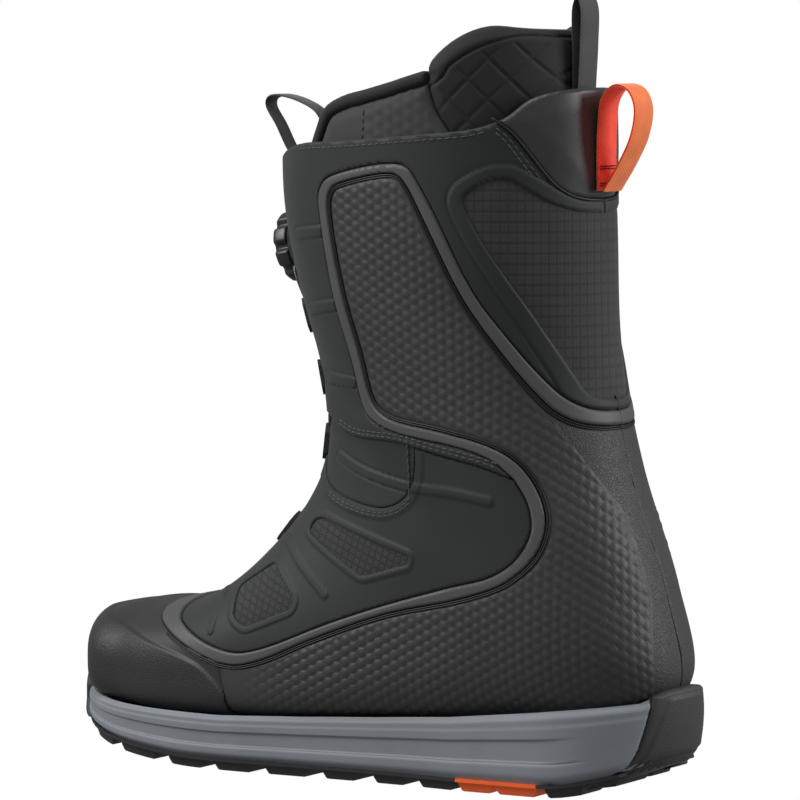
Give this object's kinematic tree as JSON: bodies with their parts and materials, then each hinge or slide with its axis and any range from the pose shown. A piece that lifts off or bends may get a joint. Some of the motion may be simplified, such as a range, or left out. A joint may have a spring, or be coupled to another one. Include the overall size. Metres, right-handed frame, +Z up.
{
  "type": "snowboard boot",
  "caption": "Soft snowboard boot for a left foot, with a dial and cable closure, a removable inner boot, pull loops and a lugged sole.",
  "frame": {"origin": "on the ground, on the flat underside of the middle tread lug, under the middle of the sole", "axes": "+Z up, -Y towards the toe, +X towards the outer side of the foot"},
  "size_m": [0.1145, 0.304, 0.3304],
  "materials": {
    "rubber": "moulded rubber with a fine grain",
    "orange_rubber": "moulded orange rubber",
    "foam": "moulded blue-grey EVA foam with a pebbled grain",
    "grained_pu": "grained synthetic leather, matt",
    "honeycomb_pu": "synthetic leather moulded with a honeycomb, satin",
    "smooth_pu": "smooth synthetic leather, matt",
    "satin_pu": "smooth synthetic leather, satin",
    "woven": "ripstop weave",
    "stiffener": "thermoplastic sheet",
    "liner_grey": "brushed knit over foam",
    "liner_black": "quilted knit over foam",
    "orange_webbing": "woven polyester webbing",
    "grey_webbing": "woven polyester webbing",
    "dial_plastic": "moulded nylon",
    "steel_cable": "stainless steel"
  },
  "bodies": {
    "boot": {"outsole_front": "rubber", "outsole_insert": "orange_rubber", "outsole_heel": "rubber", "midsole": "foam", "toe_bumper": "rubber", "toe_cap": "grained_pu", "quarter_outer": "honeycomb_pu", "seam_band_outer": "grained_pu", "upper_window_outer": "woven", "lower_window_outer": "woven", "ankle_strap_outer": "smooth_pu", "cuff_outer": "smooth_pu", "quarter_inner": "honeycomb_pu", "seam_band_inner": "grained_pu", "upper_window_inner": "woven", "lower_window_inner": "woven", "ankle_strap_inner": "smooth_pu", "cuff_inner": "smooth_pu", "vamp": "smooth_pu", "rear_panel": "woven", "collar": "satin_pu", "heel_counter": "stiffener", "toe_puff": "stiffener", "spine": "stiffener", "lasting_board": "stiffener", "tongue": "smooth_pu", "liner_front": "liner_black", "liner_heel": "liner_black", "liner_shaft": "liner_grey", "liner_tongue": "liner_grey", "liner_binding": "liner_black", "liner_collar": "liner_black", "footbed": "liner_grey", "tongue_pull": "grey_webbing", "dial_base": "dial_plastic", "lace_cable": "steel_cable", "cable_guide_outer_1": "dial_plastic", "cable_guide_inner_1": "dial_plastic", "cable_guide_outer_2": "dial_plastic", "cable_guide_inner_2": "dial_plastic", "cable_guide_outer_3": "dial_plastic", "cable_guide_inner_3": "dial_plastic", "cable_guide_outer_4": "dial_plastic", "cable_guide_inner_4": "dial_plastic"},
    "dial_drive": {"dial_drive": "dial_plastic"},
    "dial_knob": {"dial_knob": "dial_plastic", "dial_screw": "steel_cable"},
    "spool": {"cable_spool": "dial_plastic", "cable_winding": "steel_cable"},
    "heel_pull": {"heel_pull": "orange_webbing"},
    "liner_pull": {"liner_pull": "grey_webbing"}
  },
  "joints": [
    {"name": "dial_turn", "type": "hinge", "parent": "boot", "child": "dial_drive", "pos_m": [0, -0.04032, 0.22429], "axis": [0, -0.9808, -0.1952], "continuous": true},
    {"name": "dial_pop", "type": "slide", "parent": "dial_drive", "child": "dial_knob", "axis": [0, -0.9808, -0.1952], "range_m": [0, 0.0025]},
    {"name": "spool_turn", "type": "hinge", "parent": "boot", "child": "spool", "pos_m": [0, -0.04032, 0.22429], "axis": [0, -0.9808, -0.1952], "continuous": true},
    {"name": "heel_pull_swing", "type": "hinge", "parent": "boot", "child": "heel_pull", "pos_m": [0, 0.1069, 0.2503], "axis": [-1, 0, 0], "range_deg": [0, 45], "stiffness_Nm_per_rad": 0.02},
    {"name": "liner_pull_swing", "type": "hinge", "parent": "boot", "child": "liner_pull", "pos_m": [0, 0.0945, 0.2836], "axis": [-1, 0, 0], "range_deg": [0, 15], "stiffness_Nm_per_rad": 0.02}
  ],
  "couplings": [
    {"joint": "spool_turn", "follows": "dial_turn", "ratio": 1}
  ]
}
